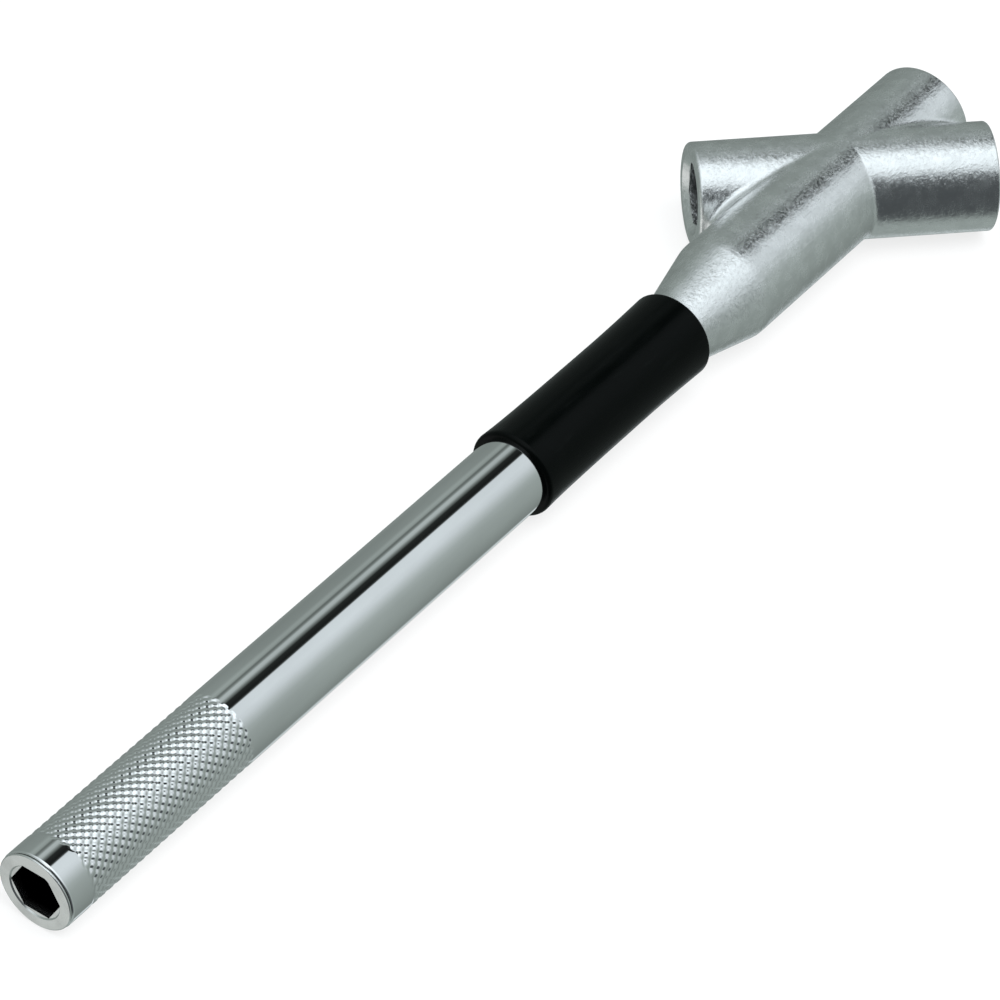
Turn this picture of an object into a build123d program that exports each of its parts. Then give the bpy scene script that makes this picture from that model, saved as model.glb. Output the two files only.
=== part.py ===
"""Extending lug wrench: a three-socket cross head on a rod that slides in a knurled handle tube.

Frame: millimetres, origin at the centre of the handle's open end, +X along the handle towards
the head, +Z up, and the three sockets' axes in the XY plane. The wrench is drawn closed.
"""
from build123d import *
from math import cos, radians, sin, sqrt
import os

# ---- driving dimensions -------------------------------------------------------------------
HANDLE_R = 11.0            # outside of the handle tube
HANDLE_END = 249.7         # head end of the handle tube
TRAVEL = 150.0             # how far the handle pulls out
TOTAL_LENGTH = 388.7       # handle end to the mouth of the in-line socket, closed
CROSS_X = 346.3            # where the cross bar's axis meets the handle's axis
CROSS_ANGLE = 45.0         # cross bar to handle, degrees

TUBE_BORE_R = 8.2
INSERT_R, INSERT_LENGTH = 9.0, 24.0          # hex insert pressed in the handle's open end
INSERT_FLANGE_R, FLANGE = 10.8, 0.55
INSERT_NECK_R, TUBE_START = 9.9, 0.85        # thin seam between the flange and the tube
END_HEX, END_HEX_DEPTH = 13.0, 17.0          # across flats
BUSH_R, BUSH_LENGTH = 8.9, 24.0              # guide bush pressed in the handle's head end
SLEEVE_START, SLEEVE_END = 188.5, 262.0
SLEEVE_WAIST_X, SLEEVE_WAIST_R = 226.0, 12.28
SLEEVE_NEAR_R, SLEEVE_FAR_R = 12.75, 12.75   # the sleeve flares a little to both ends
SLEEVE_NEAR_EDGE, SLEEVE_FAR_EDGE = 1.1, 0.7 # how far its corners are rounded

ROD_R = 7.5
ROD_START, ROD_END = 45.0, 299.0
RUNNING_GAP = 0.06                           # radial, rod in bush and guide ring in tube
KEYWAY_WIDTH, KEYWAY_DEPTH = 4.0, 2.2
SCREW_X, SCREW_R, DOG_R = 237.0, 2.5, 1.9
STOP_RING_X, STOP_RING_WIDTH = 73.4, 1.6
STOP_RING_R = 8.0
BALL_X, BALL_R = 64.0, 3.0
GUIDE_RING_X, GUIDE_RING_WIDTH = 49.0, 9.0

NECK_START, NECK_R = 250.0, 10.3
CONE_START, CONE_END = 263.4, 286.4
CONE_TOP_ROUND = 10.0                        # soft edge between the cone and the bar
PIN_X, PIN_R, PIN_LENGTH = 256.0, 2.0, 19.8

# Each arm of the head: hex across flats, outside radius, reach of its mouth from the crossing,
# and the rounding of its mouth's outer edge.
FRONT_ARM = dict(flats=19.0, radius=15.55, reach=TOTAL_LENGTH - CROSS_X, edge=0.6)
RIGHT_ARM = dict(flats=21.0, radius=15.5, reach=42.0, edge=0.6)
LEFT_ARM = dict(flats=17.0, radius=15.0, reach=43.3, edge=1.3)
SOCKET_DEPTH = 23.0
SOCKET_LEAD, END_LEAD = 1.6, 0.35            # conical lead-in of the sockets
CROSSING_BLEND = 2.5                         # rounding in the corners where the bars cross

OVERCUT = 1.0                                # how far a cutter passes the face that it opens


# ---- helpers ------------------------------------------------------------------------------
def along_x(x, angle=0.0):
    """Plane at x on the handle's axis, its normal along +X turned by angle about +Z."""
    direction = Vector(cos(radians(angle)), sin(radians(angle)), 0)
    return Plane(origin=(x, 0, 0), x_dir=(0, 0, 1), z_dir=direction)


def rod_between(start, end, radius):
    """Round bar on the handle's axis."""
    return extrude(along_x(start) * Circle(radius), end - start)


def ring_between(start, end, outer, inner):
    """Tube on the handle's axis."""
    return rod_between(start, end, outer) - rod_between(start - OVERCUT, end + OVERCUT, inner)


def hexagon(flats):
    """Regular hexagon of the given width across its flats."""
    return RegularPolygon(radius=flats / sqrt(3), side_count=6)


def hex_cutter(flats, depth, lead):
    """Hex socket of the given depth with a conical lead-in, its mouth at z = 0 and cut down -Z."""
    corner = flats / sqrt(3)
    cut = extrude(hexagon(flats), -depth) + extrude(hexagon(flats), OVERCUT)
    cone = Cone(corner - 0.1, corner - 0.1 + lead, lead, align=(Align.CENTER, Align.CENTER, Align.MIN))
    cut += Pos(0, 0, -lead) * cone
    drill = Cone(0.0, flats / 2 - 1.0, 4.0, align=(Align.CENTER, Align.CENTER, Align.MIN))
    return cut + Pos(0, 0, -depth - 4.0) * drill


def write(shape, node):
    """Write one node's solid to its STEP file."""
    export_step(shape, f"parts/{node}.step")


# ---- handle side --------------------------------------------------------------------------
def handle_tube():
    """Chromed tube, counterbored at both ends, with two detent grooves and the screw's hole."""
    tube = ring_between(TUBE_START, HANDLE_END, HANDLE_R, TUBE_BORE_R)
    tube -= rod_between(TUBE_START - OVERCUT, INSERT_LENGTH, INSERT_R)
    tube -= rod_between(HANDLE_END - BUSH_LENGTH, HANDLE_END + OVERCUT, BUSH_R)
    for groove_x in (BALL_X, BALL_X + TRAVEL):
        tube -= ring_between(groove_x - 2.0, groove_x + 2.0, TUBE_BORE_R + 0.6, TUBE_BORE_R - 1.0)
    tube -= Pos(SCREW_X, 0, -HANDLE_R) * Cylinder(SCREW_R, 8.0)
    outer_end_edges = tube.edges().filter_by(GeomType.CIRCLE).filter_by(
        lambda edge: abs(edge.radius - HANDLE_R) < 0.01)
    return chamfer(outer_end_edges, 0.35)


def end_socket():
    """Hex insert with a thin flange that closes the handle's open end."""
    flange = rod_between(0.0, FLANGE, INSERT_FLANGE_R)
    flange = fillet(flange.edges().filter_by(GeomType.CIRCLE).group_by(Axis.X)[0], 0.35)
    insert = flange + rod_between(FLANGE, TUBE_START, INSERT_NECK_R)
    insert += rod_between(TUBE_START, INSERT_LENGTH, INSERT_R)
    mouth = Plane(origin=(0, 0, 0), x_dir=(0, 1, 0), z_dir=(-1, 0, 0))
    return insert - mouth * hex_cutter(END_HEX, END_HEX_DEPTH, END_LEAD)


def guide_bush():
    """Steel bush that the rod runs in, with a groove for the friction ring."""
    start = HANDLE_END - BUSH_LENGTH
    bush = ring_between(start, HANDLE_END, BUSH_R, ROD_R + RUNNING_GAP)
    bush -= ring_between(start + 4.0, start + 6.4, ROD_R + 0.8, ROD_R - 1.0)
    bush -= Pos(SCREW_X, 0, -BUSH_R) * Cylinder(SCREW_R, 6.0)
    return bush


def friction_ring():
    """Nylon ring in the bush's groove, which grips the rod and keeps it where it is put."""
    start = HANDLE_END - BUSH_LENGTH + 4.1
    return ring_between(start, start + 2.2, ROD_R + 0.78, ROD_R + 0.03)


def guide_screw():
    """Dog-point set screw: its thread is in the tube and its dog runs in the rod's keyway."""
    top = -(ROD_R - KEYWAY_DEPTH + 0.3)
    step = -(ROD_R + 0.3)
    bottom = -(HANDLE_R - 0.4)
    dog = Pos(SCREW_X, 0, (top + step) / 2) * Cylinder(DOG_R, abs(top - step))
    body = Pos(SCREW_X, 0, (step + bottom) / 2) * Cylinder(SCREW_R, abs(step - bottom))
    key = Pos(SCREW_X, 0, bottom) * extrude(hexagon(2.5), 1.6)
    return dog + body - key


def grip_sleeve():
    """Black sleeve pressed over the tube, slightly waisted, with a skirt over the head's neck."""
    bore = HANDLE_R
    near_face = (SLEEVE_START, SLEEVE_NEAR_R - SLEEVE_NEAR_EDGE)
    near_top = (SLEEVE_START + 1.4 * SLEEVE_NEAR_EDGE, SLEEVE_NEAR_R)
    far_top = (SLEEVE_END - SLEEVE_FAR_EDGE, SLEEVE_FAR_R)
    far_face = (SLEEVE_END, SLEEVE_FAR_R - SLEEVE_FAR_EDGE)
    near_edge = Spline(near_face, near_top, tangents=((0.15, 1), (1, -0.06)))
    waist = (SLEEVE_WAIST_X, SLEEVE_WAIST_R)
    near_flare = (SLEEVE_START + 14.0, SLEEVE_WAIST_R + 0.1)
    far_flare = (SLEEVE_END - 18.0, SLEEVE_WAIST_R + 0.05)
    outside = Spline(near_top, near_flare, waist, far_flare, far_top, tangents=((1, -0.06), (1, 0.03)))
    far_edge = ThreePointArc(far_top, (SLEEVE_END - 0.29 * SLEEVE_FAR_EDGE, SLEEVE_FAR_R - 0.29 * SLEEVE_FAR_EDGE),
                             far_face)
    inside = Polyline(far_face, (SLEEVE_END, bore), (SLEEVE_START, bore), near_face)
    return revolve(make_face(near_edge + outside + far_edge + inside), Axis.X, 360)


# ---- head side ----------------------------------------------------------------------------
def arm_bar(angle, arm):
    """Round bar from the crossing to an arm's mouth, its outer edge rounded."""
    bar = extrude(along_x(CROSS_X, angle) * Circle(arm["radius"]), arm["reach"])
    direction = Vector(cos(radians(angle)), sin(radians(angle)), 0)
    return fillet(bar.edges().filter_by(GeomType.CIRCLE).sort_by(Axis((0, 0, 0), direction))[-1], arm["edge"])


def arm_socket(angle, arm):
    """Hex cutter at an arm's mouth."""
    mouth = along_x(CROSS_X, angle).offset(arm["reach"])
    return mouth * hex_cutter(arm["flats"], SOCKET_DEPTH, SOCKET_LEAD)


def head_barrel():
    """Neck, flared cone and in-line bar as one turned shape."""
    body_r = FRONT_ARM["radius"]
    outline = Polyline(
        (NECK_START, 0),
        (NECK_START, NECK_R),
        (CONE_START, NECK_R),
        (CONE_END, body_r),
        (TOTAL_LENGTH, body_r),
        (TOTAL_LENGTH, 0),
        close=True,
    )
    barrel = revolve(make_face(outline), Axis.X, 360)
    rims = barrel.edges().filter_by(GeomType.CIRCLE).sort_by(Axis.X)
    barrel = fillet(rims[-1], FRONT_ARM["edge"])
    cone_top = barrel.edges().filter_by(GeomType.CIRCLE).filter_by(
        lambda edge: abs(edge.center().X - CONE_END) < 0.01)
    return fillet(cone_top, CONE_TOP_ROUND)


def socket_head():
    """One forging: neck with the rod's blind bore, and three hex sockets on crossing bars."""
    right, left = -CROSS_ANGLE, 180.0 - CROSS_ANGLE
    head = head_barrel() + arm_bar(right, RIGHT_ARM) + arm_bar(left, LEFT_ARM)
    seams = head.edges().filter_by(GeomType.BSPLINE).filter_by(
        lambda edge: edge.center().X > CONE_END)
    head = fillet(seams, CROSSING_BLEND)
    head -= rod_between(NECK_START - OVERCUT, ROD_END + 0.5, ROD_R)
    head -= Pos(PIN_X, 0, 0) * Cylinder(PIN_R, 30)
    head -= arm_socket(0, FRONT_ARM)
    head -= arm_socket(right, RIGHT_ARM)
    head -= arm_socket(left, LEFT_ARM)
    return head


def inner_rod():
    """Steel rod pinned in the head, with a keyway below and the detent's cross hole near its end."""
    rod = rod_between(ROD_START, ROD_END, ROD_R)
    ends = rod.edges().filter_by(GeomType.CIRCLE).group_by(Axis.X)[0]
    rod = chamfer(ends, 1.0)
    keyway_start = SCREW_X - TRAVEL - DOG_R - 1.1
    keyway_end = SCREW_X + DOG_R + 1.1
    length = keyway_end - keyway_start
    keyway = SlotOverall(length, KEYWAY_WIDTH)
    floor = Pos((keyway_start + keyway_end) / 2, 0, -ROD_R - OVERCUT)
    rod -= floor * extrude(keyway, KEYWAY_DEPTH + OVERCUT)
    rod -= ring_between(STOP_RING_X, STOP_RING_X + STOP_RING_WIDTH, ROD_R + OVERCUT, ROD_R - 1.0)
    rod -= ring_between(GUIDE_RING_X, GUIDE_RING_X + GUIDE_RING_WIDTH, ROD_R + OVERCUT, ROD_R - 1.2)
    rod -= Pos(BALL_X, 0, 0) * Cylinder(BALL_R + 0.05, 20, align=(Align.CENTER, Align.CENTER, Align.MIN))
    rod -= Pos(BALL_X, 0, -3.0) * Cylinder(BALL_R + 0.05, 3.0, align=(Align.CENTER, Align.CENTER, Align.MIN))
    rod -= Pos(PIN_X, 0, 0) * Cylinder(PIN_R, 30)
    return rod


def rod_pin():
    """Solid pin through the neck and the rod."""
    pin = Pos(PIN_X, 0, 0) * Cylinder(PIN_R, PIN_LENGTH)
    return chamfer(pin.edges().filter_by(GeomType.CIRCLE), 0.3)


def rod_stop_ring():
    """Split snap ring in the rod's groove, which meets the bush at full reach."""
    ring = ring_between(STOP_RING_X, STOP_RING_X + STOP_RING_WIDTH, STOP_RING_R, ROD_R - 1.0)
    return ring - Pos(STOP_RING_X, 0, STOP_RING_R) * Box(6, 3, 6)


def rod_guide_ring():
    """Nylon ring that steadies the rod's free end in the tube's bore."""
    outer = TUBE_BORE_R - RUNNING_GAP
    ring = ring_between(GUIDE_RING_X, GUIDE_RING_X + GUIDE_RING_WIDTH, outer, ROD_R - 1.2)
    return ring - Pos(GUIDE_RING_X, 0, TUBE_BORE_R) * Box(30, 1.2, 8)


def detent_ball():
    """Steel ball, drawn pressed in so that it clears the tube's bore over the whole travel."""
    return Pos(BALL_X, 0, TUBE_BORE_R - 0.05 - BALL_R) * Sphere(BALL_R)


def detent_spring():
    """Coil spring under the detent ball, seated on the cross hole's floor."""
    wire_r, coil_r, turns = 0.35, 2.2, 4.0
    height = TUBE_BORE_R - 0.05 - 2 * BALL_R + 3.0 + 0.75
    path = Helix(pitch=(height - 2 * wire_r) / turns, height=height - 2 * wire_r, radius=coil_r)
    section = Plane(origin=path @ 0, z_dir=path % 0) * Circle(wire_r)
    return Pos(BALL_X, 0, -3.0 + wire_r) * sweep(section, path=path)


os.makedirs("parts", exist_ok=True)
for maker in (handle_tube, end_socket, guide_bush, friction_ring, guide_screw, grip_sleeve,
              socket_head, inner_rod, rod_pin, rod_stop_ring, rod_guide_ring, detent_ball,
              detent_spring):
    write(maker(), maker.__name__)
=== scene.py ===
"""Extending lug wrench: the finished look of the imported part, with its floor, light and camera.

The knurled handle tube is rebuilt here with real diamonds; every other part keeps its own shape and
gets a procedural finish. Lengths are in metres, in the part's frame: +X from the handle's open end to
the head, +Z up.
"""

import logging
import math
from dataclasses import dataclass, field
from enum import Enum
from typing import Optional, Sequence

import bpy
from mathutils import Matrix, Vector


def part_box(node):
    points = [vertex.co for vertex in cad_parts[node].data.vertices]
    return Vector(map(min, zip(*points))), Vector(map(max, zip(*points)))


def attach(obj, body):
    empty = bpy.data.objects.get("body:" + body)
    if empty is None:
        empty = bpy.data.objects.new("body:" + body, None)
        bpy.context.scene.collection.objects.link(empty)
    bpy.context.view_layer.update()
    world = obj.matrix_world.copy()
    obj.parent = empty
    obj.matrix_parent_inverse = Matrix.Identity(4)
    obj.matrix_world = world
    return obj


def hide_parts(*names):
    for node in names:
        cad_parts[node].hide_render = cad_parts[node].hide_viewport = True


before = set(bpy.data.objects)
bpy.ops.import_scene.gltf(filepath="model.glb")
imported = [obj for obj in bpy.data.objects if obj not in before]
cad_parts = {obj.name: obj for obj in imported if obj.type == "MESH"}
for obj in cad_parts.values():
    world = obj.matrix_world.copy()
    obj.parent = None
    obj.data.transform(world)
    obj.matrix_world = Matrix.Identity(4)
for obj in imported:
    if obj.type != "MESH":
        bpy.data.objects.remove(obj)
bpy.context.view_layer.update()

log = logging.getLogger("lug_wrench")

MM = 0.001
Colour = tuple[float, float, float]
Point = tuple[float, float, float]
Span = tuple[float, float]


class Body(Enum):
    """The two bodies that slide on each other."""

    HEAD = "head"
    HANDLE = "handle"


class Slot(Enum):
    """The record's material slots."""

    HANDLE_CHROME = "handle_chrome"
    INSERT_STEEL = "insert_steel"
    HEAD_PLATING = "head_plating"
    ROD_CHROME = "rod_chrome"
    BRIGHT_STEEL = "bright_steel"
    SPRING_STEEL = "spring_steel"
    DARK_SCREW = "dark_screw"
    NYLON = "nylon"
    SLEEVE_BLACK = "sleeve_black"


# ---- node helpers -----------------------------------------------------------------------------


class Nodes:
    """A short way to write a material's or the world's node tree."""

    def __init__(self, tree: bpy.types.NodeTree) -> None:
        """Start from an empty tree.

        Args:
            tree: The node tree to fill.
        """
        self.tree = tree
        tree.nodes.clear()

    def add(self, kind: str, **settings: object) -> bpy.types.Node:
        """Add a node and set its properties.

        Args:
            kind: The node's type name, such as "ShaderNodeMath".
            **settings: Properties of the node.

        Returns:
            The new node.
        """
        node = self.tree.nodes.new(kind)
        for name, value in settings.items():
            setattr(node, name, value)
        return node

    def link(self, source: bpy.types.NodeSocket, target: bpy.types.NodeSocket) -> None:
        """Join an output to an input."""
        self.tree.links.new(source, target)

    def feed(self, node: bpy.types.Node, index: int, value: object) -> None:
        """Give an input a value, or link an output to it.

        Args:
            node: The node that owns the input.
            index: Which input.
            value: A number, a colour, or an output socket.
        """
        if isinstance(value, bpy.types.NodeSocket):
            self.link(value, node.inputs[index])
        else:
            node.inputs[index].default_value = value

    def math(self, operation: str, *values: object) -> bpy.types.NodeSocket:
        """One Math node.

        Args:
            operation: The operation's name.
            *values: Its inputs, as numbers or sockets.

        Returns:
            The result's socket.
        """
        node = self.add("ShaderNodeMath", operation=operation)
        for index, value in enumerate(values):
            self.feed(node, index, value)
        return node.outputs[0]

    def remap(self, value: bpy.types.NodeSocket, low: float, high: float,
              to_low: float = 0.0, to_high: float = 1.0) -> bpy.types.NodeSocket:
        """Smoothly remap a value from one range to another.

        Args:
            value: The value to remap.
            low: Start of the range it comes in.
            high: End of that range.
            to_low: What low becomes.
            to_high: What high becomes.

        Returns:
            The remapped value's socket.
        """
        node = self.add("ShaderNodeMapRange", interpolation_type="SMOOTHSTEP")
        limits = {"From Min": low, "From Max": high, "To Min": to_low, "To Max": to_high}
        for name, number in limits.items():
            node.inputs[name].default_value = number
        self.link(value, node.inputs["Value"])
        return node.outputs["Result"]

    def noise(self, vector: bpy.types.NodeSocket, scale: float, detail: float = 3.0,
              roughness: float = 0.55) -> bpy.types.NodeSocket:
        """Noise value, with its scale in features per metre.

        Args:
            vector: Where the noise is read.
            scale: Features per metre.
            detail: Octaves.
            roughness: How strong the finer octaves are.

        Returns:
            The noise value's socket, from 0 to 1.
        """
        node = self.add("ShaderNodeTexNoise", noise_dimensions="3D")
        node.inputs["Scale"].default_value = scale
        node.inputs["Detail"].default_value = detail
        node.inputs["Roughness"].default_value = roughness
        self.link(vector, node.inputs["Vector"])
        return node.outputs["Fac"]

    def mapped(self, vector: bpy.types.NodeSocket, scale: Point) -> bpy.types.NodeSocket:
        """The vector stretched by scale.

        Args:
            vector: The vector to change.
            scale: Factors along X, Y and Z.

        Returns:
            The new vector's socket.
        """
        node = self.add("ShaderNodeMapping", vector_type="POINT")
        node.inputs["Scale"].default_value = scale
        self.link(vector, node.inputs["Vector"])
        return node.outputs["Vector"]

    def ramp(self, value: bpy.types.NodeSocket,
             stops: Sequence[tuple[float, Colour]]) -> bpy.types.NodeSocket:
        """Straight-line colour ramp.

        Args:
            value: Position along the ramp.
            stops: Positions and colours, in order.

        Returns:
            The colour's socket.
        """
        node = self.add("ShaderNodeValToRGB")
        bar = node.color_ramp
        bar.interpolation = "LINEAR"
        while len(bar.elements) < len(stops):
            bar.elements.new(1.0)
        for element, (position, colour) in zip(bar.elements, stops):
            element.position = position
            element.color = (*colour, 1.0)
        self.link(value, node.inputs["Fac"])
        return node.outputs["Color"]

    def tint(self, factor: object, first: object, second: object) -> bpy.types.NodeSocket:
        """Blend of two colours.

        Args:
            factor: 0 gives the first colour, 1 the second.
            first: A colour or a colour socket.
            second: A colour or a colour socket.

        Returns:
            The blended colour's socket.
        """
        node = self.add("ShaderNodeMix", data_type="RGBA", blend_type="MIX")
        inputs = [s for s in node.inputs if s.enabled]
        for socket, value in zip(inputs, (factor, first, second)):
            if isinstance(value, bpy.types.NodeSocket):
                self.link(value, socket)
            else:
                socket.default_value = (*value, 1.0) if isinstance(value, tuple) else value
        return next(s for s in node.outputs if s.enabled)

    def bump(self, height: bpy.types.NodeSocket, depth: float, strength: float = 1.0,
             over: Optional[bpy.types.NodeSocket] = None) -> bpy.types.NodeSocket:
        """Bump from a height.

        Args:
            height: The height, from 0 to 1.
            depth: The full height in metres.
            strength: How much of the bump shows.
            over: A normal that this bump lies on.

        Returns:
            The normal's socket.
        """
        node = self.add("ShaderNodeBump")
        node.inputs["Strength"].default_value = strength
        node.inputs["Distance"].default_value = depth
        self.link(height, node.inputs["Height"])
        if over is not None:
            self.link(over, node.inputs["Normal"])
        return node.outputs["Normal"]

    def glow(self, colour: Colour) -> bpy.types.NodeSocket:
        """An even light of one colour.

        Args:
            colour: The light's colour.

        Returns:
            The shader's socket.
        """
        node = self.add("ShaderNodeEmission")
        node.inputs["Color"].default_value = (*colour, 1.0)
        return node.outputs[0]

    def places(self) -> bpy.types.NodeSocket:
        """Object coordinates, in metres."""
        return self.add("ShaderNodeTexCoord").outputs["Object"]

    def dot(self, vector: bpy.types.NodeSocket, direction: Point) -> bpy.types.NodeSocket:
        """Dot product of a vector and a fixed direction.

        Args:
            vector: The vector's socket.
            direction: The fixed direction.

        Returns:
            The product's socket.
        """
        node = self.add("ShaderNodeVectorMath", operation="DOT_PRODUCT")
        self.link(vector, node.inputs[0])
        node.inputs[1].default_value = direction
        return node.outputs["Value"]

    def far_from_line(self, vector: bpy.types.NodeSocket, through: Point,
                      direction: Point) -> tuple[bpy.types.NodeSocket, bpy.types.NodeSocket]:
        """Where a place is beside a line.

        Args:
            vector: The place's socket.
            through: A point on the line.
            direction: The line's unit direction.

        Returns:
            The distance from the line, and how far along it the place is.
        """
        offset = self.add("ShaderNodeVectorMath", operation="SUBTRACT")
        self.link(vector, offset.inputs[0])
        offset.inputs[1].default_value = through
        along = self.dot(offset.outputs[0], direction)
        length = self.add("ShaderNodeVectorMath", operation="LENGTH")
        self.link(offset.outputs[0], length.inputs[0])
        squared = self.math("MULTIPLY", length.outputs["Value"], length.outputs["Value"])
        beside = self.math("SUBTRACT", squared, self.math("MULTIPLY", along, along))
        return self.math("SQRT", self.math("MAXIMUM", beside, 0.0)), along


# ---- finishes ---------------------------------------------------------------------------------


def share_of(colour: Colour, share: float) -> Colour:
    """The colour at a share of its brightness."""
    return tuple(part * share for part in colour)


def blank_material(name: str) -> tuple[bpy.types.Material, Nodes]:
    """Make a material with an empty node tree.

    Args:
        name: The material's name.

    Returns:
        The material, and its node tree.
    """
    material = bpy.data.materials.new(name)
    material.use_nodes = True
    return material, Nodes(material.node_tree)


@dataclass(frozen=True)
class Finish:
    """What every finish has: a name, a colour and the shader's even values."""

    name: str
    colour: Colour
    metallic: float = 1.0
    roughness: float = 0.2

    def material(self) -> bpy.types.Material:
        """Build the material.

        Returns:
            The finished material.
        """
        material, nodes = blank_material(self.name)
        shader = nodes.add("ShaderNodeBsdfPrincipled")
        output = nodes.add("ShaderNodeOutputMaterial")
        nodes.link(shader.outputs[0], output.inputs["Surface"])
        shader.inputs["Metallic"].default_value = self.metallic
        shader.inputs["Base Color"].default_value = (*self.colour, 1.0)
        shader.inputs["Roughness"].default_value = self.roughness
        self.dress(nodes, shader)
        return material

    def dress(self, nodes: Nodes, shader: bpy.types.Node) -> None:
        """Add the finish's own texture.

        Args:
            nodes: The material's node tree.
            shader: Its Principled shader.
        """
        raise NotImplementedError


@dataclass(frozen=True)
class MirrorChrome(Finish):
    """Polished chrome plate: faint clouding, smears of handling and long polishing lines.

    Attributes:
        cloud_scale: Clouds per metre along the tube and across it.
        cloud_span: Noise values between which a cloud fades in.
        cloud_shade: Brightness left in a cloud.
        smear_scale: Smears per metre along the tube and across it.
        smear_span: Noise values between which a smear fades in.
        smear_haze: How many times rougher a smear is.
        line_scale: Polishing lines per metre along the tube and across it.
        line_depth: How deep the lines are.
    """

    cloud_scale: Point = (18.0, 60.0, 60.0)
    cloud_span: Span = (0.35, 0.75)
    cloud_shade: float = 0.90
    smear_scale: Point = (40.0, 260.0, 260.0)
    smear_span: Span = (0.42, 0.78)
    smear_haze: float = 1.9
    line_scale: Point = (90.0, 5200.0, 5200.0)
    line_depth: float = 0.0006 * MM

    def dress(self, nodes: Nodes, shader: bpy.types.Node) -> None:
        """Cloud the colour, smear the gloss and lay fine lines along the tube."""
        place = nodes.places()
        cloud = nodes.noise(nodes.mapped(place, self.cloud_scale), 1.0, 4.0)
        clouded = share_of(self.colour, self.cloud_shade)
        colour = nodes.tint(nodes.remap(cloud, *self.cloud_span), self.colour, clouded)
        nodes.link(colour, shader.inputs["Base Color"])
        smear = nodes.noise(nodes.mapped(place, self.smear_scale), 1.0, 3.0)
        haze = nodes.remap(smear, *self.smear_span, self.roughness, self.roughness * self.smear_haze)
        nodes.link(haze, shader.inputs["Roughness"])
        lines = nodes.noise(nodes.mapped(place, self.line_scale), 1.0, 2.0)
        nodes.link(nodes.bump(lines, self.line_depth, 0.6), shader.inputs["Normal"])


@dataclass(frozen=True)
class Socket:
    """A hexagon hole whose walls get painted shade, darker deeper in.

    Attributes:
        mouth: The middle of its mouth.
        outward: The unit direction out of it.
        flats: Width across the hexagon's flats.
        lead: How deep the mouth stays bright, free of the painted shade.
        fade: How far the painted shade takes to turn fully dark.
        depth: How deep the hole is, with its drilled point.
        slack: How far past the hexagon's corners the painted shade may reach.
    """

    mouth: Point
    outward: Point
    flats: float
    lead: float
    fade: float
    depth: float = 28.0 * MM
    slack: float = 0.06 * MM

    def inside(self, nodes: Nodes, place: bpy.types.NodeSocket) -> bpy.types.NodeSocket:
        """Mask of the hole's walls, where the painted shade goes.

        Args:
            nodes: The material's node tree.
            place: Object coordinates.

        Returns:
            1 on the hole's walls and floor, and 0 elsewhere.
        """
        corner = self.flats / math.sqrt(3)
        beside, along = nodes.far_from_line(place, self.mouth, self.outward)
        within = nodes.math("LESS_THAN", beside, corner + self.slack)
        above_floor = nodes.math("GREATER_THAN", along, -self.depth)
        # painted shade: the walls turn dark from the lead inwards
        deep = nodes.remap(along, -self.lead, -self.lead - self.fade)
        return nodes.math("MULTIPLY", nodes.math("MULTIPLY", within, above_floor), deep)


ALONG_HANDLE: Point = (1.0, 0.0, 0.0)
RIGHT_ARM: Point = (math.sqrt(0.5), -math.sqrt(0.5), 0.0)
LEFT_ARM: Point = (-math.sqrt(0.5), math.sqrt(0.5), 0.0)
CROSSING: Point = (346.3 * MM, 0.0, 0.0)


def head_socket(arm: Point, reach: float, flats: float) -> Socket:
    """One of the head's sockets.

    Args:
        arm: The arm's unit direction.
        reach: From the crossing of the bars to the socket's mouth.
        flats: Width across the hexagon's flats.

    Returns:
        The socket.
    """
    mouth = tuple(middle + step * reach for middle, step in zip(CROSSING, arm))
    return Socket(mouth, arm, flats, lead=2.2 * MM, fade=3.0 * MM)


HEAD_SOCKETS = (
    head_socket(ALONG_HANDLE, reach=42.4 * MM, flats=19.0 * MM),
    head_socket(RIGHT_ARM, reach=42.0 * MM, flats=21.0 * MM),
    head_socket(LEFT_ARM, reach=43.3 * MM, flats=17.0 * MM),
)
END_HEX = Socket((0.0, 0.0, 0.0), (-1.0, 0.0, 0.0), flats=13.0 * MM, lead=0.5 * MM, fade=2.6 * MM)


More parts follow.
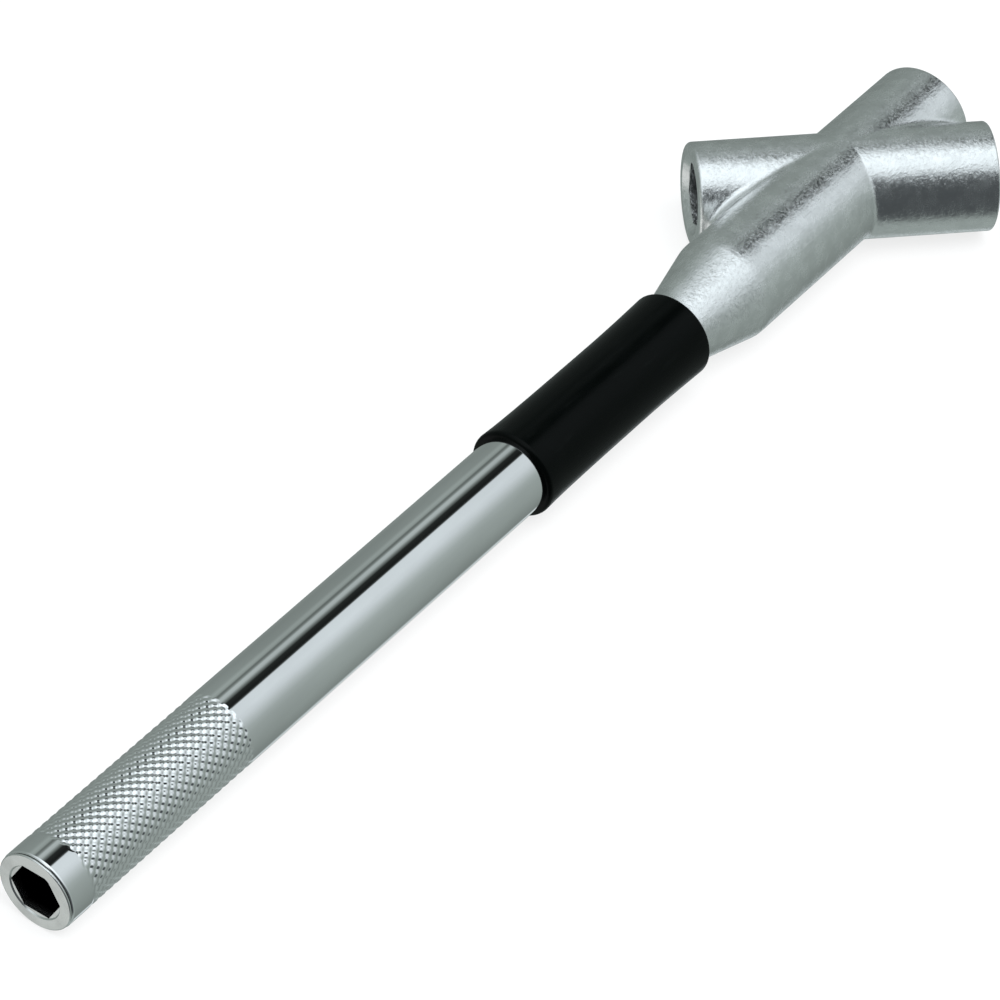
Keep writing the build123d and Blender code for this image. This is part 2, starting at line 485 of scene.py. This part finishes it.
@dataclass(frozen=True)
class SatinPlating(Finish):
    """Blasted and plated forging: fine grain, small dents, short streaks, and rougher sockets darkened
    with painted shade.

    Attributes:
        sockets: The holes whose walls get painted shade.
        socket_shade: The painted shade inside them.
        socket_haze: Roughness that they add.
        mottle_scale: Dull patches per metre.
        mottle_span: Noise values between which the plating turns from dull to bright.
        mottle_shade: Brightness left in a dull patch.
        haze_span: Noise values between which the plating turns rougher.
        mottle_haze: Roughness that this adds.
        grain_scale: Grains per metre.
        grain_depth: How deep the grain is.
        grain_haze: Spread of the roughness from grain to grain.
        dent_scale: Dents per metre.
        dent_depth: How deep they are.
        along_scale: Streaks along the handle, per metre along X, Y and Z.
        along_span: Noise values between which such a streak rises.
        upright_scale: Streaks that stand upright, per metre along X, Y and Z.
        upright_span: Noise values between which such a streak rises.
        streak_depth: How high both kinds of streak are.
    """

    sockets: tuple[Socket, ...] = HEAD_SOCKETS
    socket_shade: Colour = (0.055, 0.058, 0.060)
    socket_haze: float = 0.2
    mottle_scale: float = 210.0
    mottle_span: Span = (0.32, 0.72)
    mottle_shade: float = 0.86
    haze_span: Span = (0.35, 0.70)
    mottle_haze: float = 0.08
    grain_scale: float = 3600.0
    grain_depth: float = 0.007 * MM
    grain_haze: float = 0.16
    dent_scale: float = 520.0
    dent_depth: float = 0.11 * MM
    along_scale: Point = (150.0, 1100.0, 1100.0)
    along_span: Span = (0.50, 0.72)
    upright_scale: Point = (1150.0, 1150.0, 330.0)
    upright_span: Span = (0.44, 0.74)
    streak_depth: float = 0.07 * MM

    def in_sockets(self, nodes: Nodes, place: bpy.types.NodeSocket) -> bpy.types.NodeSocket:
        """Mask of all the sockets' walls, where the painted shade goes.

        Args:
            nodes: The material's node tree.
            place: Object coordinates.

        Returns:
            1 inside any socket, and 0 elsewhere.
        """
        first, *others = self.sockets
        dark = first.inside(nodes, place)
        for socket in others:
            dark = nodes.math("MAXIMUM", dark, socket.inside(nodes, place))
        return dark

    def dress(self, nodes: Nodes, shader: bpy.types.Node) -> None:
        """Mottle the plating, darken the sockets with painted shade, and lay dents, streaks and grain in
        the bump.
        """
        place = nodes.places()
        dark = self.in_sockets(nodes, place)
        mottle = nodes.noise(place, self.mottle_scale, 5.0, 0.6)
        dull = share_of(self.colour, self.mottle_shade)
        plated = nodes.tint(nodes.remap(mottle, *self.mottle_span), dull, self.colour)
        # painted shade: the sockets' walls take the dark shade colour
        nodes.link(nodes.tint(dark, plated, self.socket_shade), shader.inputs["Base Color"])

        grain = nodes.noise(place, self.grain_scale, 3.0, 0.7)
        rough = nodes.math("MULTIPLY_ADD", grain, self.grain_haze, self.roughness - self.grain_haze / 2)
        rough = nodes.math("MULTIPLY_ADD", nodes.remap(mottle, *self.haze_span), self.mottle_haze, rough)
        rough = nodes.math("MULTIPLY_ADD", dark, self.socket_haze, rough)
        nodes.link(rough, shader.inputs["Roughness"])

        dents = nodes.noise(place, self.dent_scale, 2.0, 0.5)
        along = nodes.noise(nodes.mapped(place, self.along_scale), 1.0, 3.0, 0.6)
        upright = nodes.noise(nodes.mapped(place, self.upright_scale), 1.0, 4.0, 0.65)
        normal = nodes.bump(dents, self.dent_depth, 0.6)
        normal = nodes.bump(nodes.remap(along, *self.along_span), self.streak_depth, 0.35, normal)
        normal = nodes.bump(nodes.remap(upright, *self.upright_span), self.streak_depth, 0.55, normal)
        normal = nodes.bump(grain, self.grain_depth, 0.8, normal)
        nodes.link(normal, shader.inputs["Normal"])


@dataclass(frozen=True)
class TurnedSteel(Finish):
    """Turned or ground steel, with fine rings round the X axis, faint stains and painted shade in its
    hole, if it has one.

    Attributes:
        ring_pitch: One ring to the next.
        ring_drift: How often the rings change round the part, per metre.
        ring_depth: How deep they are.
        ring_haze: Spread of the roughness from ring to ring.
        sheen: What the smoothest rings take off the roughness.
        stain_scale: Stains per metre.
        stain_span: Noise values between which a stain fades in.
        stain_shade: Brightness left in a stain.
        socket: A hole in the part that gets painted shade, if it has one.
        deep: The painted shade inside it.
    """

    ring_pitch: float = 0.22 * MM
    ring_drift: float = 60.0
    ring_depth: float = 0.003 * MM
    ring_haze: float = 0.14
    sheen: float = 0.05
    stain_scale: float = 160.0
    stain_span: Span = (0.35, 0.75)
    stain_shade: float = 0.84
    socket: Optional[Socket] = None
    deep: Colour = (0.012, 0.012, 0.012)

    def dress(self, nodes: Nodes, shader: bpy.types.Node) -> None:
        """Stain the colour, darken the hole with painted shade and lay rings along X."""
        place = nodes.places()
        ring_scale = (1.0 / self.ring_pitch, self.ring_drift, self.ring_drift)
        rings = nodes.noise(nodes.mapped(place, ring_scale), 1.0, 2.0)
        stain = nodes.noise(place, self.stain_scale, 4.0)
        stained = share_of(self.colour, self.stain_shade)
        bright = nodes.tint(nodes.remap(stain, *self.stain_span), self.colour, stained)
        if self.socket is not None:
            # painted shade inside the hole
            bright = nodes.tint(self.socket.inside(nodes, place), bright, self.deep)
        nodes.link(bright, shader.inputs["Base Color"])
        rough = nodes.math("MULTIPLY_ADD", rings, self.ring_haze, self.roughness - self.sheen)
        nodes.link(rough, shader.inputs["Roughness"])
        nodes.link(nodes.bump(rings, self.ring_depth, 0.8), shader.inputs["Normal"])


@dataclass(frozen=True)
class BlackSleeve(Finish):
    """Satin black coating with a very fine orange peel and faintly rubbed places.

    Attributes:
        refraction: Index of refraction, low for a coating with little gloss.
        rub_scale: Rubbed places per metre along the sleeve and across it.
        rub_span: Noise values between which a rubbed place turns grey.
        rubbed: The colour there.
        haze_span: Noise values between which the coating turns rougher.
        rub_haze: Roughness that this adds.
        peel_scale: Bumps of the orange peel per metre.
        peel_depth: How high they are.
    """

    refraction: float = 1.16
    rub_scale: Point = (70.0, 420.0, 420.0)
    rub_span: Span = (0.55, 0.85)
    rubbed: Colour = (0.0020, 0.0028, 0.0026)
    haze_span: Span = (0.30, 0.80)
    rub_haze: float = 0.12
    peel_scale: float = 2600.0
    peel_depth: float = 0.006 * MM

    def dress(self, nodes: Nodes, shader: bpy.types.Node) -> None:
        """Rub the colour and the gloss, and add the orange peel."""
        place = nodes.places()
        rub = nodes.noise(nodes.mapped(place, self.rub_scale), 1.0, 4.0, 0.6)
        colour = nodes.tint(nodes.remap(rub, *self.rub_span), self.colour, self.rubbed)
        nodes.link(colour, shader.inputs["Base Color"])
        rough = nodes.remap(rub, *self.haze_span, self.roughness, self.roughness + self.rub_haze)
        nodes.link(rough, shader.inputs["Roughness"])
        peel = nodes.noise(place, self.peel_scale, 3.0, 0.6)
        nodes.link(nodes.bump(peel, self.peel_depth, 0.5), shader.inputs["Normal"])
        shader.inputs["IOR"].default_value = self.refraction


@dataclass(frozen=True)
class MouldedNylon(Finish):
    """Natural nylon: slightly cloudy and waxy.

    Attributes:
        cloud_scale: Clouds per metre.
        cloud_span: Noise values between which a cloud fades in.
        cloud_tint: What a cloud leaves of red, green and blue.
        cloud_haze: Spread of the roughness between clouds.
        mould_scale: Bumps of the moulded surface per metre.
        mould_depth: How high they are.
        waxiness: How much light goes under the surface.
        reach: How far its red, green and blue travel there.
    """

    cloud_scale: float = 420.0
    cloud_span: Span = (0.30, 0.70)
    cloud_tint: Colour = (0.96, 0.93, 0.86)
    cloud_haze: float = 0.2
    mould_scale: float = 3000.0
    mould_depth: float = 0.01 * MM
    waxiness: float = 0.15
    reach: Point = (1.2 * MM, 1.0 * MM, 0.8 * MM)

    def dress(self, nodes: Nodes, shader: bpy.types.Node) -> None:
        """Cloud the colour and give the surface a fine moulded texture."""
        place = nodes.places()
        cloud = nodes.noise(place, self.cloud_scale, 4.0)
        warm = tuple(part * left for part, left in zip(self.colour, self.cloud_tint))
        colour = nodes.tint(nodes.remap(cloud, *self.cloud_span), self.colour, warm)
        nodes.link(colour, shader.inputs["Base Color"])
        rough = nodes.math("MULTIPLY_ADD", cloud, self.cloud_haze, self.roughness - self.cloud_haze / 2)
        nodes.link(rough, shader.inputs["Roughness"])
        moulded = nodes.noise(place, self.mould_scale)
        nodes.link(nodes.bump(moulded, self.mould_depth, 0.5), shader.inputs["Normal"])
        shader.inputs["Subsurface Weight"].default_value = self.waxiness
        shader.inputs["Subsurface Radius"].default_value = self.reach


POLISHED_CHROME = MirrorChrome("polished_chrome", (0.80, 0.81, 0.81), roughness=0.045)
GROUND_ROD = MirrorChrome("ground_rod_chrome", (0.76, 0.77, 0.78), roughness=0.09)
SATIN_INSERT = TurnedSteel("insert_satin_steel", (0.76, 0.77, 0.76), roughness=0.24, socket=END_HEX)
PLATED_HEAD = SatinPlating("head_satin_plating", (0.82, 0.83, 0.83), roughness=0.215)
TURNED_STEEL = TurnedSteel("turned_steel", (0.66, 0.67, 0.68), roughness=0.25)
SPRING_STEEL = TurnedSteel("spring_steel", (0.40, 0.41, 0.43), roughness=0.32)
BLACK_OXIDE = TurnedSteel("black_oxide_screw", (0.06, 0.06, 0.065), metallic=0.6, roughness=0.4)
NATURAL_NYLON = MouldedNylon("natural_nylon", (0.78, 0.76, 0.69), metallic=0.0, roughness=0.45)
BLACK_COATING = BlackSleeve("satin_black_sleeve", (0.0005, 0.0009, 0.0008), metallic=0.0, roughness=0.24)

FINISHES: dict[Slot, Finish] = {
    Slot.HANDLE_CHROME: POLISHED_CHROME,
    Slot.INSERT_STEEL: SATIN_INSERT,
    Slot.HEAD_PLATING: PLATED_HEAD,
    Slot.ROD_CHROME: GROUND_ROD,
    Slot.BRIGHT_STEEL: TURNED_STEEL,
    Slot.SPRING_STEEL: SPRING_STEEL,
    Slot.DARK_SCREW: BLACK_OXIDE,
    Slot.NYLON: NATURAL_NYLON,
    Slot.SLEEVE_BLACK: BLACK_COATING,
}


class Paintbox:
    """Makes each finish's material once and hands it out by slot."""

    def __init__(self) -> None:
        """Start with no materials made."""
        self.made: dict[Slot, bpy.types.Material] = {}

    def get(self, slot: Slot) -> bpy.types.Material:
        """The material of a slot, made when first asked for.

        Args:
            slot: The record's material slot.

        Returns:
            The material.
        """
        if slot not in self.made:
            self.made[slot] = FINISHES[slot].material()
        return self.made[slot]

    def paint_node(self, node: str, slot: Slot) -> None:
        """Give a CAD node its finish.

        Args:
            node: The CAD node's name.
            slot: Its material slot.
        """
        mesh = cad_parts[node].data
        mesh.materials.clear()
        mesh.materials.append(self.get(slot))


# ---- mesh helper ------------------------------------------------------------------------------


@dataclass
class Ring:
    """One ring of points round the X axis.

    Attributes:
        x: Where the ring is along the axis.
        radius: The radius at each column, or one radius for all.
        shift: How far the columns are turned, as a share of one column.
    """

    x: float
    radius: Sequence[float] | float
    shift: float = 0.0


class RingStack:
    """Builds a skin through rings that all have the same number of columns."""

    def __init__(self, columns: int) -> None:
        """Start an empty stack.

        Args:
            columns: Points in each ring.
        """
        self.columns = columns
        self.points: list[Point] = []
        self.faces: list[tuple[int, ...]] = []
        self.rings: list[Ring] = []

    def add(self, ring: Ring) -> None:
        """Add a ring and join it to the one before.

        Args:
            ring: The next ring along the skin.
        """
        for column in range(self.columns):
            angle = 2.0 * math.pi * (column + ring.shift) / self.columns
            radius = ring.radius if isinstance(ring.radius, float) else ring.radius[column]
            self.points.append((ring.x, radius * math.cos(angle), radius * math.sin(angle)))
        self.rings.append(ring)
        if len(self.rings) > 1:
            self._join(len(self.rings) - 2)

    def _join(self, lower: int) -> None:
        """Join ring number lower to the next one, with quads or, where the shift changes, triangles."""
        a, b = lower * self.columns, (lower + 1) * self.columns
        change = self.rings[lower + 1].shift - self.rings[lower].shift
        for column in range(self.columns):
            after = (column + 1) % self.columns
            if change == 0:
                self.faces.append((a + column, b + column, b + after, a + after))
            elif change > 0:
                self.faces.append((a + column, b + column, a + after))
                self.faces.append((b + column, b + after, a + after))
            else:
                self.faces.append((a + column, b + column, b + after))
                self.faces.append((a + column, b + after, a + after))

    def close(self) -> None:
        """Join the last ring back to the first one."""
        self.rings.append(self.rings[0])
        start = (len(self.rings) - 2) * self.columns
        for column in range(self.columns):
            after = (column + 1) % self.columns
            self.faces.append((start + column, column, after, start + after))

    def piece(self, name: str, sharp_angle: float) -> bpy.types.Object:
        """Make the mesh object.

        Args:
            name: The object's name.
            sharp_angle: Edges that turn more than this, in degrees, stay sharp.

        Returns:
            The new object, linked to the scene.
        """
        mesh = bpy.data.meshes.new(name)
        mesh.from_pydata(self.points, [], self.faces)
        mesh.validate()
        mesh.shade_smooth()
        mesh.set_sharp_from_angle(angle=math.radians(sharp_angle))
        piece = bpy.data.objects.new(name, mesh)
        bpy.context.scene.collection.objects.link(piece)
        return piece


# ---- the wrench -------------------------------------------------------------------------------


@dataclass
class KnurledTube:
    """The chromed handle tube with its band of diamond knurling, in place of the plain CAD tube.

    Attributes:
        starts: Grooves round the tube in each hand.
        axial_pitch: One groove to the next along the tube.
        steps: Mesh steps in one pitch.
        depth: How deep the surface is where two grooves cross.
        sharpness: How narrow the grooves are; 1 gives plain waves.
        start: Where the knurl begins.
        end: Where it stops.
        fade: How far the grooves take to reach their full depth.
        edge_round: Rounding of the tube's open end.
        edge_steps: How far round it the rings lie.
        far_chamfer: Chamfer of the tube's other end.
        wall: The tube's wall.
        wall_at_ends: Wall left where the tube is counterbored.
        counterbore: How deep the counterbore goes at each end.
        support: Spacing of the extra rings that keep the shading of the plain parts straight.
        sharp_angle: Edges that turn more than this, in degrees, stay sharp.
    """

    starts: int = 26
    axial_pitch: float = 2.895 * MM
    steps: int = 8
    depth: float = 0.42 * MM
    sharpness: float = 1.5
    start: float = 8.2 * MM
    end: float = 68.0 * MM
    fade: float = 1.0 * MM
    edge_round: float = 0.5 * MM
    edge_steps: tuple[float, ...] = (0.0, 0.3, 0.65, 1.0)
    far_chamfer: float = 0.3 * MM
    wall: float = 2.8 * MM
    wall_at_ends: float = 2.0 * MM
    counterbore: float = 24.0 * MM
    support: float = 0.25 * MM
    sharp_angle: float = 26.0

    def groove(self, share: float) -> float:
        """How deep a groove is at a place across it.

        Args:
            share: Distance from the groove's middle, in pitches, from 0 to 0.5.

        Returns:
            1 at the bottom and 0 on top of the diamond.
        """
        return (0.5 + 0.5 * math.cos(2.0 * math.pi * share)) ** self.sharpness

    def knurl_depth(self, x: float, turn: float) -> float:
        """How far the surface lies below the tube's outside.

        Args:
            x: Distance along the tube.
            turn: Angle round it, as a share of a full turn.

        Returns:
            The depth in metres.
        """
        along = (x - self.start) / self.axial_pitch
        round_it = turn * self.starts
        cut = 0.0
        for position in (along + round_it, along - round_it):
            cut += 0.5 * self.groove(abs(position - round(position)))
        reach = min(x - self.start, self.end - x) / self.fade
        return self.depth * cut * min(1.0, max(0.0, reach))

    def add_knurl(self, stack: RingStack, outside: float) -> float:
        """Add the knurl's rings, every other one turned by half a column.

        Args:
            stack: The tube's rings so far.
            outside: The tube's outer radius.

        Returns:
            Where the last ring lies.
        """
        step = self.axial_pitch / (2 * self.steps)
        rows = int(round((self.end - self.start) / step))
        rows += rows % 2
        for row in range(rows + 1):
            x = self.start + row * step
            shift = 0.5 * (row % 2)
            turns = ((column + shift) / stack.columns for column in range(stack.columns))
            radii = [outside - self.knurl_depth(x, turn) for turn in turns]
            stack.add(Ring(x, radii, shift))
        return self.start + rows * step

    def build(self) -> bpy.types.Object:
        """Build the tube round the CAD node's own box.

        Returns:
            The tube.
        """
        low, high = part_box("handle_tube")
        outside = high.y
        bore = outside - self.wall
        mouth = outside - self.wall_at_ends
        stack = RingStack(self.starts * self.steps)
        stack.add(Ring(low.x, mouth))
        for share in self.edge_steps:
            angle = share * math.pi / 2
            stack.add(Ring(low.x + self.edge_round * (1 - math.cos(angle)),
                           outside - self.edge_round * (1 - math.sin(angle))))
        rounded = low.x + self.edge_round
        for x in (rounded + self.support, self.start - 2 * self.support, self.start - self.support):
            stack.add(Ring(x, outside))
        finish = self.add_knurl(stack, outside)
        chamfer = high.x - self.far_chamfer
        for x in (finish + self.support, finish + 2 * self.support, chamfer - self.support, chamfer):
            stack.add(Ring(x, outside))
        stack.add(Ring(high.x, outside - self.far_chamfer))
        stack.add(Ring(high.x, mouth))
        stack.add(Ring(high.x - self.counterbore, mouth))
        stack.add(Ring(high.x - self.counterbore, bore))
        stack.add(Ring(self.counterbore, bore))
        stack.add(Ring(self.counterbore, mouth))
        stack.close()
        return stack.piece("knurled_handle_tube", self.sharp_angle)

    def make(self, paints: Paintbox) -> None:
        """Build the tube, dress it and put it on the handle.

        Args:
            paints: Where its finish comes from.
        """
        tube = self.build()
        tube.data.materials.append(paints.get(Slot.HANDLE_CHROME))
        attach(tube, Body.HANDLE.value)
        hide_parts("handle_tube")
        log.info("knurled tube: %d points", len(tube.data.vertices))


@dataclass
class PlainParts:
    """Parts of one body that keep their CAD shape and only get a finish."""

    body: Body
    slots: dict[str, Slot]

    def make(self, paints: Paintbox) -> None:
        """Give each part its finish.

        Args:
            paints: Where the finishes come from.
        """
        for node, slot in self.slots.items():
            paints.paint_node(node, slot)
            log.info("%s, on the %s, wears %s", node, self.body.value, slot.value)


@dataclass
class HandleParts(PlainParts):
    """The insert in the handle's open end, the guide in its other end, and the sleeve."""

    body: Body = Body.HANDLE
    slots: dict[str, Slot] = field(default_factory=lambda: {
        "end_socket": Slot.INSERT_STEEL,
        "guide_bush": Slot.BRIGHT_STEEL,
        "friction_ring": Slot.NYLON,
        "guide_screw": Slot.DARK_SCREW,
        "grip_sleeve": Slot.SLEEVE_BLACK,
    })


@dataclass
class HeadParts(PlainParts):
    """The forged head, the rod that slides in the handle, and what is fixed to the rod."""

    body: Body = Body.HEAD
    slots: dict[str, Slot] = field(default_factory=lambda: {
        "socket_head": Slot.HEAD_PLATING,
        "inner_rod": Slot.ROD_CHROME,
        "rod_pin": Slot.BRIGHT_STEEL,
        "rod_stop_ring": Slot.SPRING_STEEL,
        "rod_guide_ring": Slot.NYLON,
        "detent_ball": Slot.BRIGHT_STEEL,
        "detent_spring": Slot.SPRING_STEEL,
    })


# ---- studio -----------------------------------------------------------------------------------


@dataclass(frozen=True)
class Lamp:
    """A square area light: its name, place, side in metres and power in watts."""

    name: str
    place: Point
    side: float
    power: float


@dataclass
class Studio:
    """Pale floor, a strip-lit room for the chrome to mirror, two soft lamps and the camera.

    Attributes:
        eye: Where the camera stands.
        forward: The way it looks.
        up: Its upward direction.
        lens: Focal length in millimetres on the sensor.
        sensor: The sensor's width in millimetres.
        shift: The lens shift, right and up, as shares of the frame.
        floor_size: Half the floor's side.
        floor_paint: The floor's colour.
        floor_light: The light that the floor gives off itself.
        floor_glow: How much of the floor is that light, which keeps the shadow faint.
        head_contact: Where along the tool the head rests on the floor, just past the end of its cone.
        backdrop_size: Radius of the pale dome.
        backdrop_light: The dome's colour.
        lamps: The soft lamps, which light the floor and draw the shadow.
        lamp_target: The point that they face.
        room: Strips beyond the head, as angles round the X axis in degrees and brightnesses.
        open_side: The same for the rest of the room.
        crossover: Directions' X between which the room takes over from the open side.
        dim_tint: The colour of the dim strips.
        bright_tint: The colour of the bright strips.
        tint_span: Brightnesses between which one tint turns into the other.
        camera_place: The direction of the dark place round the camera.
        camera_span: How nearly along it the dark begins and is full, as cosines.
        camera_dark: Its colour.
        end_span: Directions' X between which the glow before the handle's open end begins and is full.
        below_span: The same for Z, since the glow is low.
        side_span: The same for Y, since it is on the left.
        end_glow: Its colour.
        brightness: Strength of the whole room.
    """

    eye: Point = (-0.53197, -0.48970, 0.76135)
    forward: Point = (0.61712, 0.41667, -0.66750)
    up: Point = (0.52381, 0.41549, 0.74363)
    lens: float = 160.83
    sensor: float = 36.0
    shift: Span = (-0.0181, 0.0322)
    floor_size: float = 8.0
    floor_paint: Colour = (0.93, 0.93, 0.93)
    floor_light: Colour = (0.97, 0.97, 0.97)
    floor_glow: float = 0.8
    head_contact: float = 290.0 * MM
    backdrop_size: float = 7.6
    backdrop_light: Colour = (0.95, 0.95, 0.95)
    lamps: tuple[Lamp, ...] = (
        Lamp("key_light", (0.1, -0.7, 1.3), 1.2, 26.0),
        Lamp("fill_light", (0.5, 0.9, 1.2), 1.4, 9.0),
    )
    lamp_target: Point = (0.2, 0.0, 0.0)
    room: tuple[Span, ...] = (
        (-180.0, 0.345), (-140.0, 0.285), (-105.0, 0.220), (-91.0, 0.210), (-87.0, 0.550), (-82.0, 0.800),
        (-76.0, 0.400), (-70.0, 0.240), (-60.0, 0.220), (-8.0, 0.220), (28.0, 0.250), (38.0, 0.330),
        (45.0, 0.300), (51.0, 0.120), (56.0, 0.200), (61.0, 0.450), (68.0, 0.420), (75.0, 0.160),
        (81.0, 0.020), (95.0, 0.010), (99.0, 0.050), (101.5, 0.680), (125.0, 0.700), (137.0, 0.650),
        (152.0, 0.510), (165.0, 0.400), (180.0, 0.345),
    )
    open_side: tuple[Span, ...] = (
        (-180.0, 0.370), (-140.0, 0.300), (-104.0, 0.340), (-82.0, 0.300), (-60.0, 0.280), (-10.0, 0.250),
        (28.0, 0.280), (50.0, 0.500), (67.0, 0.800), (79.0, 1.000), (89.0, 1.150), (97.0, 1.200),
        (106.0, 1.150), (120.0, 1.000), (140.0, 0.780), (165.0, 0.480), (180.0, 0.370),
    )
    crossover: Span = (0.33, 0.45)
    dim_tint: Colour = (0.885, 1.02, 0.975)
    bright_tint: Colour = (0.895, 0.975, 1.015)
    tint_span: Span = (0.3, 0.6)
    camera_place: Point = (-0.707, -0.707, -0.01)
    camera_span: Span = (0.50, 0.72)
    camera_dark: Colour = (0.066, 0.074, 0.078)
    end_span: Span = (-0.2, -0.7)
    below_span: Span = (0.05, -0.35)
    side_span: Span = (-0.3, 0.1)
    end_glow: Colour = (0.66, 0.68, 0.67)
    brightness: float = 1.25

    def floor(self) -> None:
        """A plain pale floor that the head and the handle's end rest on, and the metal doesn't mirror."""
        tube_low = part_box("handle_tube")[0]
        head_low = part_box("socket_head")[0]
        slope = (tube_low.z - head_low.z) / self.head_contact
        corners = []
        for across, beside in ((-1, -1), (1, -1), (1, 1), (-1, 1)):
            x, y = across * self.floor_size, beside * self.floor_size
            corners.append((x, y, tube_low.z - slope * x))
        mesh = bpy.data.meshes.new("floor")
        mesh.from_pydata(corners, [], [(0, 1, 2, 3)])
        floor = bpy.data.objects.new("floor", mesh)
        bpy.context.scene.collection.objects.link(floor)
        material, nodes = blank_material("floor_paint")
        matt = nodes.add("ShaderNodeBsdfDiffuse")
        matt.inputs["Color"].default_value = (*self.floor_paint, 1.0)
        both = nodes.add("ShaderNodeMixShader")
        both.inputs["Fac"].default_value = self.floor_glow
        nodes.link(matt.outputs[0], both.inputs[1])
        nodes.link(nodes.glow(self.floor_light), both.inputs[2])
        nodes.link(both.outputs[0], nodes.add("ShaderNodeOutputMaterial").inputs["Surface"])
        mesh.materials.append(material)
        floor.visible_glossy = False

    def backdrop(self) -> None:
        """A pale dome far outside, which only the camera sees."""
        rings = 24
        stack = RingStack(columns=48)
        for step in range(rings + 1):
            angle = math.pi * step / rings
            width = max(1.0 * MM, self.backdrop_size * math.sin(angle))
            stack.add(Ring(self.backdrop_size * math.cos(angle), width))
        dome = stack.piece("backdrop", 60.0)
        material, nodes = blank_material("backdrop_paint")
        glow = nodes.glow(self.backdrop_light)
        nodes.link(glow, nodes.add("ShaderNodeOutputMaterial").inputs["Surface"])
        dome.data.materials.append(material)
        dome.visible_glossy = False
        dome.visible_diffuse = False
        dome.visible_transmission = False
        dome.visible_shadow = False

    def strip_stops(self, strips: Sequence[Span]) -> list[tuple[float, Colour]]:
        """Ramp stops of a ring of light strips.

        Args:
            strips: Angle round the X axis in degrees, and brightness.

        Returns:
            Positions from 0 to 1, and tinted colours.
        """
        low, high = self.tint_span
        stops = []
        for angle, value in strips:
            share = min(1.0, max(0.0, (value - low) / (high - low)))
            tint = (dim + (bright - dim) * share for dim, bright in zip(self.dim_tint, self.bright_tint))
            stops.append(((angle + 180.0) / 360.0, tuple(value * part for part in tint)))
        return stops

    def light_room(self) -> None:
        """Strips of light with dark gaps, a dark place round the camera and a low glow at the open end."""
        world = bpy.data.worlds.new("studio_room")
        bpy.context.scene.world = world
        world.use_nodes = True
        nodes = Nodes(world.node_tree)
        way = nodes.add("ShaderNodeTexCoord").outputs["Generated"]
        split = nodes.add("ShaderNodeSeparateXYZ")
        nodes.link(way, split.inputs[0])
        along, beside, above = (split.outputs[axis] for axis in "XYZ")
        around = nodes.math("ARCTAN2", above, beside)
        share = nodes.math("MULTIPLY_ADD", around, 1.0 / (2.0 * math.pi), 0.5)
        open_strips = nodes.ramp(share, self.strip_stops(self.open_side))
        room_strips = nodes.ramp(share, self.strip_stops(self.room))
        lit = nodes.tint(nodes.remap(along, *self.crossover), open_strips, room_strips)
        by_camera = nodes.remap(nodes.dot(way, self.camera_place), *self.camera_span)
        lit = nodes.tint(by_camera, lit, self.camera_dark)
        at_end = nodes.remap(along, *self.end_span)
        below = nodes.remap(above, *self.below_span)
        at_left = nodes.remap(beside, *self.side_span)
        glow = nodes.math("MULTIPLY", nodes.math("MULTIPLY", at_end, below), at_left)
        lit = nodes.tint(glow, lit, self.end_glow)
        background = nodes.add("ShaderNodeBackground")
        nodes.link(lit, background.inputs["Color"])
        background.inputs["Strength"].default_value = self.brightness
        nodes.link(background.outputs[0], nodes.add("ShaderNodeOutputWorld").inputs["Surface"])

    def hang_lamps(self) -> None:
        """Soft lamps above, which the metal doesn't mirror."""
        target = Vector(self.lamp_target)
        for lamp in self.lamps:
            data = bpy.data.lights.new(lamp.name, "AREA")
            data.shape = "SQUARE"
            data.size = lamp.side
            data.energy = lamp.power
            light = bpy.data.objects.new(lamp.name, data)
            light.location = lamp.place
            light.rotation_euler = (target - Vector(lamp.place)).to_track_quat("-Z", "Y").to_euler()
            light.visible_glossy = False
            bpy.context.scene.collection.objects.link(light)

    def camera(self) -> None:
        """The camera, which looks down over the handle's open end."""
        forward, up = Vector(self.forward).normalized(), Vector(self.up).normalized()
        right = forward.cross(up).normalized()
        up = right.cross(forward)
        data = bpy.data.cameras.new("camera")
        data.sensor_width = self.sensor
        data.lens = self.lens
        data.shift_x, data.shift_y = self.shift
        data.clip_start, data.clip_end = 0.05, 50.0
        camera = bpy.data.objects.new("camera", data)
        turn = Matrix((right, up, -forward)).transposed().to_4x4()
        camera.matrix_world = Matrix.Translation(Vector(self.eye)) @ turn
        bpy.context.scene.collection.objects.link(camera)
        bpy.context.scene.camera = camera

    def make(self) -> None:
        """Set up the whole studio."""
        bpy.context.scene.view_settings.view_transform = "Standard"
        self.light_room()
        self.hang_lamps()
        self.floor()
        self.backdrop()
        self.camera()
        log.info("studio is up")


def main() -> None:
    """Build the wrench's look and its studio."""
    logging.basicConfig(level=logging.INFO, format="%(message)s")
    paints = Paintbox()
    KnurledTube().make(paints)
    HandleParts().make(paints)
    HeadParts().make(paints)
    Studio().make()


if __name__ == "__main__":
    main()
